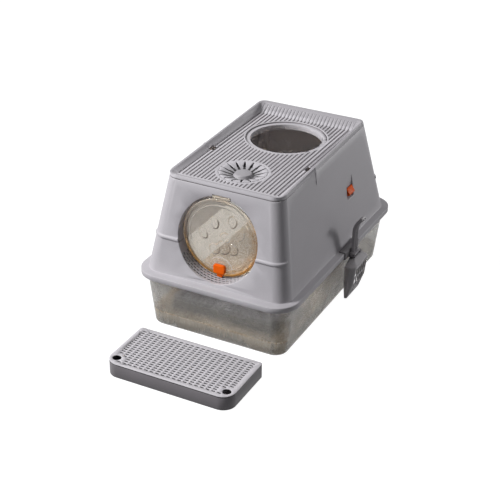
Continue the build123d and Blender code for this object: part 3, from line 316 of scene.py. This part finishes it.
def grainFinish():
    # clay grains: round cells of mixed sand colours, with painted shade in the gaps between them
    finish = Finish("litterGrains")
    cells = {"Vector": finish.place, "Scale": grains["cells"]}
    cell = finish.node("ShaderNodeTexVoronoi", out="Distance", **cells)
    tint = finish.node("ShaderNodeTexVoronoi", out="Color", **cells)
    tone = finish.node("ShaderNodeSeparateColor", Color=tint)
    stops = [(at, linear(*shade)) for at, shade in grains["sand"]]
    sand = finish.node("ShaderNodeValToRGB", stops=stops, Fac=tone)
    loose = finish.blend(finish.rise(cell, grains["gapSpan"]), sand, linear(*grains["gap"]))
    # packed dust against the pan, under the loose top
    height = finish.axes()[2]
    packed = finish.rise(height, metres(grains["packedFade"]), grains["packedShare"], 0.0)
    finish.use(Base_Color=finish.blend(packed, loose, linear(*grains["packed"])))
    finish.use(Roughness=finish.rise(tone, (0.0, 1.0), *grains["rough"]))
    finish.bump(1 - cell, grains["bump"], metres(grains["bumpDistance"]))
    return finish


flap = {
    "body": [(246, 239, 227), (251, 246, 238)], "clear": 0.85, "bending": 1.42,
    "cloud": (60, 3, 0.6), "rough": (0.03, 0.07), "roughSpan": (0.3, 0.7),
    "amber": (212, 160, 84), "amberFade": (78.0, 84.0), "amberLowFade": (-60.0, 50.0), "amberTop": 0.08,
    # the crescent colour is painted shade on the relief's edges
    "crescentShade": (120, 84, 40), "crescentSpan": (0.0, 0.16), "crescentFade": (0.0, 8.0),
    "faint": 0.15, "strong": 0.8, "awayX": 0.8, "awayZ": -0.6,
    "speck": (360, 2, 0.7), "speckSpan": (0.46, 0.56), "speckFade": (60.0, 78.0), "speckLowFade": (0.0, 50.0),
    "speckStrength": 0.85,
    "centreHeight": 230.0, "middle": -234.0, "radius": 87.0, "halfThick": 1.3, "roundOff": 0.6,
    "rimThick": 1.0, "rimWidth": 6.0, "rimEdge": 1.2, "groove": 72.0, "grooveHalf": 1.1, "grooveRise": 0.5,
    "bossRadius": 28.0, "bossRise": 0.9, "hollowRadius": 20.3, "hollowShare": 0.6, "knobHeight": 158.0,
    "relief": 1.15, "reliefTop": 1.25, "edge": 1.3, "rings": 112, "spokes": 420,
    # across, up, width, height and tilt of each toe; across, up and radius of each pad, the inner one last
    "toes": [(-40.7, 2.4, 17.0, 24.0, 34.0), (-14.6, 32.6, 19.0, 27.0, 12.0),
             (26.8, 42.8, 19.0, 27.0, -8.0), (44.5, 15.9, 17.0, 24.0, -24.0)],
    "pads": [(6.5, -20.0, 15.0), (-14.0, -27.0, 12.0), (27.0, -20.0, 12.5), (10.5, 4.0, 11.0)],
    "hingeWidth": 40.0, "hingeHeight": 319.0, "hingeY": -232.0, "barrel": 3.5, "barrelSides": 40,
    "barrelEdge": 0.5, "bore": 1.25, "webOverlap": 0.8, "hingeBevel": (0.4, 2),
}


def flapFinish():
    # clear plastic, faintly milky, turning amber in the rim
    finish = Finish("clearPlastic", Transmission_Weight=flap["clear"], IOR=flap["bending"])
    across, height = finish.axes()[::2]
    up = height - metres(flap["centreHeight"])
    radius = (across * across + up * up) ** 0.5
    cloud = finish.noise(*flap["cloud"])
    body = finish.blend(cloud, *(linear(*shade) for shade in flap["body"]))
    # painted shade on the relief's edges, stronger on the side away from the light
    outerPads = [(x, z, 2 * size, 2 * size, 0.0) for x, z, size in flap["pads"][:-1]]
    for x, z, width, length, tilt in flap["toes"] + outerPads:
        turn = math.radians(tilt)
        dx, dz = across - metres(x), up - metres(z)
        along = (dx * math.cos(turn) + dz * math.sin(turn)) * (1 / metres(width / 2))
        upward = (dz * math.cos(turn) - dx * math.sin(turn)) * (1 / metres(length / 2))
        reach = abs((along * along + upward * upward) ** 0.5 - 1)
        away = dx * flap["awayX"] + dz * flap["awayZ"]
        side = finish.rise(away, metres(flap["crescentFade"]), flap["faint"], flap["strong"])
        edge = finish.rise(reach, flap["crescentSpan"], 1.0, 0.0)
        body = finish.blend(edge * side, body, linear(*flap["crescentShade"]))
    # grains of litter that show amber through the rim, low on the right
    low = across * flap["awayX"] + up * flap["awayZ"]
    zone = finish.rise(radius, metres(flap["speckFade"])) * finish.rise(low, metres(flap["speckLowFade"]))
    speck = finish.rise(finish.noise(*flap["speck"]), flap["speckSpan"])
    body = finish.blend(speck * zone * flap["speckStrength"], body, linear(*flap["amber"]))
    rim = finish.rise(radius, metres(flap["amberFade"]))
    rim = rim * finish.rise(up, metres(flap["amberLowFade"]), 1.0, flap["amberTop"])
    finish.use(Base_Color=finish.blend(rim, body, linear(*flap["amber"])))
    finish.use(Roughness=finish.rise(cloud, flap["roughSpan"], *flap["rough"]))
    return finish


darkParts = {"dark": (102, 98, 102), "light": (114, 110, 114), "rough": (0.34, 0.48)}
scoop = {"dark": (154, 150, 154), "light": (166, 162, 166)}
innerTray = {"dark": (50, 46, 48), "light": (58, 54, 56)}
levers = {"dark": (224, 84, 4), "light": (240, 104, 10), "rough": (0.45, 0.55), "shine": 0.1}
smoky = {"dark": (186, 184, 180), "light": (197, 195, 191), "rough": (0.23, 0.28), "bump": 0.05,
         "clear": 0.68, "bending": 1.25, "cover": 0.7}
steel = {"dark": (176, 176, 178), "light": (200, 200, 202), "rough": (0.25, 0.35), "bump": 0.02}
felt = {"dark": (32, 32, 34), "light": (52, 52, 55), "grain": 600, "rough": (0.9, 1), "bump": 0.5}

# one finish for each slot of the record, and one for each node that differs from its slot
finishes = {
    "hood_plastic": mouldedPlastic("hoodPlastic", *shades(hood)),
    "panel_plastic": mouldedPlastic("panelPlastic", *shades(panel)),
    "dark_plastic": mouldedPlastic("darkPlastic", *shades(darkParts), rough=darkParts["rough"]),
    "orange_plastic": mouldedPlastic("orangePlastic", *shades(levers), rough=levers["rough"],
                                     Specular_IOR_Level=levers["shine"]),
    "pan_plastic": mouldedPlastic("smokyPlastic", *shades(smoky), rough=smoky["rough"], bump=smoky["bump"],
                                  Transmission_Weight=smoky["clear"], IOR=smoky["bending"],
                                  Alpha=smoky["cover"]),
    "filter_felt": mouldedPlastic("filterFelt", *shades(felt), felt["grain"], felt["rough"], felt["bump"]),
    "steel": mouldedPlastic("brightSteel", *shades(steel), rough=steel["rough"], bump=steel["bump"],
                            Metallic=1.0),
    "litter": grainFinish(),
    "flap_plastic": flapFinish(),
}
ownFinishes = {
    "hood": hoodFinish(),
    "vent_cap": ventFinish(),
    "top_panel": recessShadeFinish("groovedPlastic", panel["grooveFade"], panel["grooveShade"]),
    "inner_step_grid": gridFinish("inner_step_grid"),
    "outer_step_grid": gridFinish("outer_step_grid"),
    "inner_step_tray": mouldedPlastic("innerTrayPlastic", *shades(innerTray), rough=darkParts["rough"]),
    "litter_scoop": mouldedPlastic("scoopPlastic", *shades(scoop), rough=darkParts["rough"]),
}
slotOf = {part["node"]: part["material_slot"] for part in frame["record"]["subparts"]}
bodyOf = {name: item["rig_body"] for name, item in nodes.items()}


def finishFor(name):
    return ownFinishes.get(name, finishes[slotOf[name]])


for name, item in nodes.items():
    for slot in item.material_slots:
        slot.material = finishFor(name).material
print("finishes made,", len(finishes) + len(ownFinishes))

# width of the rounded edges in millimetres, and the segments across each
softEdges = {
    "hood": (0.9, 2), "top_panel": (0.5, 2), "entry_ring": (0.5, 2), "vent_cap": (0.45, 2),
    "litter_pan": (0.8, 2), "door_latch_knob": (0.9, 2),
    "side_latch_left": (0.8, 2), "side_latch_right": (0.8, 2),
    "inner_step_tray": (0.9, 2), "inner_step_grid": (0.2, 1),
    "outer_step_tray": (0.9, 2), "outer_step_grid": (0.2, 1),
    "scoop_holder": (0.6, 2), "litter_scoop": (0.6, 2), "filter_cup": (0.4, 2), "carbon_filter": (0.8, 2),
}
sharpAngle = 32  # degrees between two faces, past which their edge is rounded
mergeReach = 2e-6  # metres between two points that are one


def addPiece(name, mesh, node):
    # puts a finished mesh on the body of the node that it stands for
    piece = bpy.data.objects.new(name, mesh)
    bpy.context.scene.collection.objects.link(piece)
    mesh.shade_smooth()
    mesh.materials.clear()
    mesh.materials.append(finishFor(node).material)
    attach(piece, bodyOf[node])
    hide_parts(node)
    return piece


def roundEdges(piece, width, segments):
    # width in millimetres
    bevel = piece.modifiers.new("roundedEdges", "BEVEL")
    bevel.width = metres(width)
    bevel.segments = segments
    bevel.limit_method = "ANGLE"
    bevel.angle_limit = math.radians(sharpAngle)
    bevel.use_clamp_overlap = False
    bevel.harden_normals = True


def rework(mesh, *steps):
    # takes the mesh through steps that each change it
    work = bmesh.new()
    work.from_mesh(mesh)
    for step in steps:
        step(work)
    work.to_mesh(mesh)
    work.free()


def mergeDoubles(work):
    bmesh.ops.remove_doubles(work, verts=work.verts, dist=mergeReach)


def faceOutwards(work):
    bmesh.ops.recalc_face_normals(work, faces=work.faces)


def softened(name, width, segments):
    # a merged copy of the node whose sharp edges are rounded
    mesh = nodes[name].data.copy()
    rework(mesh, mergeDoubles)
    roundEdges(addPiece(name + "Soft", mesh, name), width, segments)


for name, (width, segments) in softEdges.items():
    softened(name, width, segments)
print("edges rounded,", len(softEdges))


def gridFaces(rows, columns):
    # quads of a rows by columns grid of points, wrapped round from the last column to the first
    down = np.arange(rows - 1)[:, None]
    along = np.arange(columns)[None, :]
    nextAlong = (along + 1) % columns
    corners = (down * columns + along, down * columns + nextAlong,
               (down + 1) * columns + nextAlong, (down + 1) * columns + along)
    return np.stack(np.broadcast_arrays(*corners), -1).reshape(-1, 4)


def makeMesh(name, points, faces):
    # points in millimetres
    mesh = bpy.data.meshes.new(name)
    mesh.from_pydata((np.asarray(points) / 1000).tolist(), [], faces.tolist())
    mesh.validate()
    mesh.update()
    return mesh


def step01(value):
    # smooth rise from 0 to 1
    value = np.clip(value, 0, 1)
    return value * value * (3 - 2 * value)


def litterPiece():
    # height over the plan: slow swells plus a random rise for each grain; the half width of each row
    # follows the pan's rounded corners, and the cells under the step are left out
    halfLength, fullHalf = grains["length"] / 2, grains["width"] / 2
    rows = np.arange(-halfLength, halfLength + grains["pitch"], grains["pitch"])
    rows = np.clip(rows, -halfLength, halfLength)
    for edge in (grains["stepFront"], grains["stepBack"]):
        rows[np.argmin(np.abs(rows - edge))] = edge
    shares = np.linspace(-1, 1, int(grains["width"] / grains["pitch"]) | 1)
    stepShare = grains["stepWidth"] / grains["width"]
    for edge in (-stepShare, stepShare):
        shares[np.argmin(np.abs(shares - edge))] = edge
    beyond = np.clip(np.abs(rows) - halfLength + grains["corner"], 0, grains["corner"])
    halfWidth = fullHalf - grains["corner"] + np.sqrt(grains["corner"] ** 2 - beyond ** 2)
    x = shares[None, :] * halfWidth[:, None]
    y = np.broadcast_to(rows[:, None], x.shape)
    random = np.random.default_rng(grains["seed"])
    bend = grains["bend"] * np.sin(y / grains["bendY"])
    swell = np.sin(x / grains["swellX"] + bend) * np.cos(y / grains["swellY"] + grains["swellShift"])
    swell = swell + grains["ripple"] * np.sin(x / grains["rippleX"] + y / grains["rippleY"])
    swell = swell * grains["swell"] / (1 + grains["ripple"])
    z = grains["top"] + swell + random.uniform(-1, 1, x.shape) * grains["relief"]
    inward = grains["lean"] * (z - grains["foot"])
    top = np.stack([x, y, z], -1)
    foot = np.stack([x * (1 - inward / fullHalf), y * (1 - inward / halfLength),
                     np.full_like(z, grains["foot"])], -1)
    count, wide = x.shape
    middleX = (shares[1:] + shares[:-1]) / 2
    middleY = (rows[1:] + rows[:-1]) / 2
    free = ~((np.abs(middleX)[None, :] < stepShare) & (middleY[:, None] > grains["stepFront"])
             & (middleY[:, None] < grains["stepBack"]))
    index = np.arange(count * wide).reshape(count, wide)
    under = index + count * wide
    padded = np.pad(free, 1)

    def walls(mask, first, second):
        first, second = first[mask], second[mask]
        return np.stack([first, second, second + count * wide, first + count * wide], -1)

    faces = np.concatenate([
        np.stack([index[:-1, :-1], index[:-1, 1:], index[1:, 1:], index[1:, :-1]], -1)[free],
        np.stack([under[:-1, :-1], under[1:, :-1], under[1:, 1:], under[:-1, 1:]], -1)[free],
        walls(free & ~padded[:-2, 1:-1], index[:-1, 1:], index[:-1, :-1]),
        walls(free & ~padded[2:, 1:-1], index[1:, :-1], index[1:, 1:]),
        walls(free & ~padded[1:-1, :-2], index[:-1, :-1], index[1:, :-1]),
        walls(free & ~padded[1:-1, 2:], index[1:, 1:], index[:-1, 1:]),
    ])
    used, faces = np.unique(faces, return_inverse=True)
    points = np.concatenate([top.reshape(-1, 3), foot.reshape(-1, 3)])[used]
    return makeMesh("litterGrains", points, faces.reshape(-1, 4))


addPiece("litterGrains", litterPiece(), "litter_bed")
print("litter laid")


def plateau(x, z, centre, size, tilt=0.0):
    # 1 inside an ellipse and 0 outside, with a smooth rise across its edge
    turn = math.radians(tilt)
    dx, dz = x - centre[0], z - centre[1]
    along = dx * math.cos(turn) + dz * math.sin(turn)
    upward = dz * math.cos(turn) - dx * math.sin(turn)
    reach = np.hypot(along / (size[0] / 2), upward / (size[1] / 2))
    return step01((1 - reach) * min(size) / 2 / flap["edge"] + 0.5)


def flapPiece():
    # a disc on rings and spokes: thickness over the disc is the flat wall, plus a raised rim, a groove inside
    # it, a round boss behind the knob and the low relief of a paw; the back is the same without relief
    rings = np.linspace(0, 1, flap["rings"]) * flap["radius"]
    turn = np.linspace(0, 2 * math.pi, flap["spokes"], endpoint=False)
    x = rings[:, None] * np.cos(turn)[None, :]
    z = rings[:, None] * np.sin(turn)[None, :]
    radius = np.broadcast_to(rings[:, None], x.shape)
    rim = step01((radius - flap["radius"] + flap["rimWidth"]) / flap["rimEdge"] + 0.5)
    ring = np.exp(-((radius - flap["groove"]) / flap["grooveHalf"]) ** 2)
    knob = (0, flap["knobHeight"] - flap["centreHeight"])
    hollow = plateau(x, z, knob, (2 * flap["hollowRadius"],) * 2)
    boss = plateau(x, z, knob, (2 * flap["bossRadius"],) * 2) - flap["hollowShare"] * hollow
    toes = sum(plateau(x, z, toe[:2], toe[2:4], toe[4]) for toe in flap["toes"])
    pad = np.zeros_like(x)
    for padX, padZ, size in flap["pads"]:
        pad = np.maximum(pad, plateau(x, z, (padX, padZ), (2 * size, 2 * size)))
    paw = np.clip(toes + pad, 0, 1) * flap["relief"]
    relief = np.minimum(paw + boss * flap["bossRise"] + flap["grooveRise"] * ring, flap["reliefTop"])
    front = flap["halfThick"] + np.maximum(rim * flap["rimThick"], relief * (1 - rim))
    back = flap["halfThick"] + rim * flap["rimThick"]
    roundOff = np.where(radius > flap["radius"] - flap["roundOff"], flap["roundOff"], 0.0)
    face = np.stack([x, flap["middle"] - front + roundOff, z + flap["centreHeight"]], -1)
    rear = np.stack([x, flap["middle"] + back - roundOff, z + flap["centreHeight"]], -1)
    shell = np.concatenate([face, rear[::-1]])
    mesh = makeMesh("flapDisc", shell.reshape(-1, 3), gridFaces(len(shell), flap["spokes"]))
    rework(mesh, mergeDoubles, faceOutwards)
    return mesh


def addWeb(work):
    # a plain block from the disc's rim up into the barrel
    web = bmesh.ops.create_cube(work, size=1)["verts"]
    low = flap["centreHeight"] + flap["radius"] - flap["rimWidth"]
    high = flap["hingeHeight"] - flap["barrel"] + flap["webOverlap"]
    scale = Vector((flap["hingeWidth"], 2 * flap["halfThick"], high - low)) / 1000
    bmesh.ops.scale(work, vec=scale, verts=web)
    bmesh.ops.translate(work, vec=Vector((0, flap["middle"], (low + high) / 2)) / 1000, verts=web)


def hingePiece():
    # a bored barrel: an outer and an inner circle carried along the hinge line, with a web down to the disc
    turn = np.linspace(0, 2 * math.pi, flap["barrelSides"], endpoint=False)
    end, outer = flap["hingeWidth"] / 2, flap["barrel"]
    inset, chamfer = end - flap["barrelEdge"], outer - flap["barrelEdge"]
    profile = [(-inset, outer), (inset, outer), (end, chamfer), (end, flap["bore"]), (-end, flap["bore"]),
               (-end, chamfer), (-inset, outer)]
    along, radius = np.array(profile).T
    rings = np.stack([np.broadcast_to(along[:, None], (len(along), len(turn))),
                      flap["hingeY"] + radius[:, None] * np.cos(turn),
                      flap["hingeHeight"] + radius[:, None] * np.sin(turn)], -1)
    mesh = makeMesh("flapHinge", rings.reshape(-1, 3), gridFaces(len(along), len(turn)))
    rework(mesh, mergeDoubles, addWeb, faceOutwards)
    return mesh


addPiece("flapDisc", flapPiece(), "door_flap")
roundEdges(addPiece("flapHinge", hingePiece(), "door_flap"), *flap["hingeBevel"])
print("flap formed")

studio = {
    "worldLight": 0.135, "mirrored": 0.6, "floorReach": 9.0, "floorShade": (118, 118, 120),
    "floorFleck": 1.01, "floorNoise": (3, 2), "floorGlow": 0.97, "insideSpread": 75.0,
    # place, target and size in metres, and power in watts
    "keyLight": ((-2.35, -1.95, 2.5), (0, 0, 0.15), 1.0, 184.0),
    "topLight": ((0.1, 0.1, 3.0), (0, 0.06, 0.3), 0.8, 7.0),
    "edgeLight": ((1.9, 2.4, 0.7), (0.1, 0, 0.25), 0.6, 33.0),
    "insideLight": ((0.0, -0.08, 0.31), (0, -0.13, 0), 0.14, 0.3),
}


def addLamp(name):
    place, target, size, power = studio[name]
    light = bpy.data.lights.new(name, "AREA")
    light.shape = "DISK"
    light.size = size
    light.energy = power
    lamp = bpy.data.objects.new(name, light)
    lamp.location = place
    lamp.rotation_euler = (Vector(target) - Vector(place)).to_track_quat("-Z", "Y").to_euler()
    bpy.context.scene.collection.objects.link(lamp)
    return lamp


def brightRays(tree):
    # 1 for camera and see-through rays, which meet a white background; mirror rays meet a greyer one
    path = tree.nodes.new("ShaderNodeLightPath")
    direct, mirror, through = (Link(tree, path.outputs["Is " + kind + " Ray"])
                               for kind in ("Camera", "Glossy", "Transmission"))
    seen = direct.math("MAXIMUM", direct, mirror * studio["mirrored"])
    return seen.math("MAXIMUM", seen, through)


def makeFloor():
    mesh = bpy.data.meshes.new("studioFloor")
    reach = studio["floorReach"]
    corners = [(-reach, -reach, 0), (reach, -reach, 0), (reach, reach, 0), (-reach, reach, 0)]
    mesh.from_pydata(corners, [], [(0, 1, 2, 3)])
    floor = bpy.data.objects.new("studioFloor", mesh)
    bpy.context.scene.collection.objects.link(floor)
    finish = Finish("floorPaint", Roughness=0.9, Specular_IOR_Level=0.0, Emission_Strength=1.0)
    shade = linear(*studio["floorShade"])
    fleck = tuple(part * studio["floorFleck"] for part in shade)
    finish.use(Base_Color=finish.blend(finish.noise(*studio["floorNoise"]), shade, fleck))
    glow = (studio["floorGlow"],) * 3
    finish.use(Emission_Color=finish.blend(brightRays(finish.tree), (0, 0, 0), glow))
    mesh.materials.append(finish.material)


def makeWorld():
    world = bpy.data.worlds.new("studioWorld")
    bpy.context.scene.world = world
    world.use_nodes = True
    tree = world.node_tree
    back = tree.nodes["Background"]
    feed(tree, back.inputs["Color"], (1, 1, 1))
    feed(tree, back.inputs["Strength"], brightRays(tree) * (1 - studio["worldLight"]) + studio["worldLight"])


makeFloor()
makeWorld()
for name in ("keyLight", "topLight", "edgeLight"):
    addLamp(name)
# a soft glow in the box, so that the litter shows through the flap
inside = addLamp("insideLight")
inside.data.spread = math.radians(studio["insideSpread"])
inside.visible_camera = False
print("studio lit")

camera = {"lens": 88.19, "sensor": 36.0, "azimuth": 26.68, "elevation": 28.5, "roll": 0.93,
          "target": (0.01313, -0.12805, 0.15536), "distance": 2.607, "farthest": 30}


def makeCamera():
    # distance along the view line from the target; the frame is turned about that line by the roll
    turn, lift, roll = (math.radians(camera[key]) for key in ("azimuth", "elevation", "roll"))
    back = Vector((math.sin(turn) * math.cos(lift), -math.cos(turn) * math.cos(lift), math.sin(lift)))
    side = (-back).cross(Vector((0, 0, 1))).normalized()
    rise = side.cross(-back)
    across = side * math.cos(roll) + rise * math.sin(roll)
    upward = rise * math.cos(roll) - side * math.sin(roll)
    data = bpy.data.cameras.new("studioCamera")
    data.lens = camera["lens"]
    data.sensor_width = camera["sensor"]
    data.sensor_fit = "HORIZONTAL"
    data.clip_end = camera["farthest"]
    eye = bpy.data.objects.new("studioCamera", data)
    bpy.context.scene.collection.objects.link(eye)
    eye.matrix_world = Matrix((across, upward, back)).transposed().to_4x4()
    eye.location = Vector(camera["target"]) + back * camera["distance"]
    bpy.context.scene.camera = eye


makeCamera()
bpy.context.scene.view_settings.view_transform = "Standard"
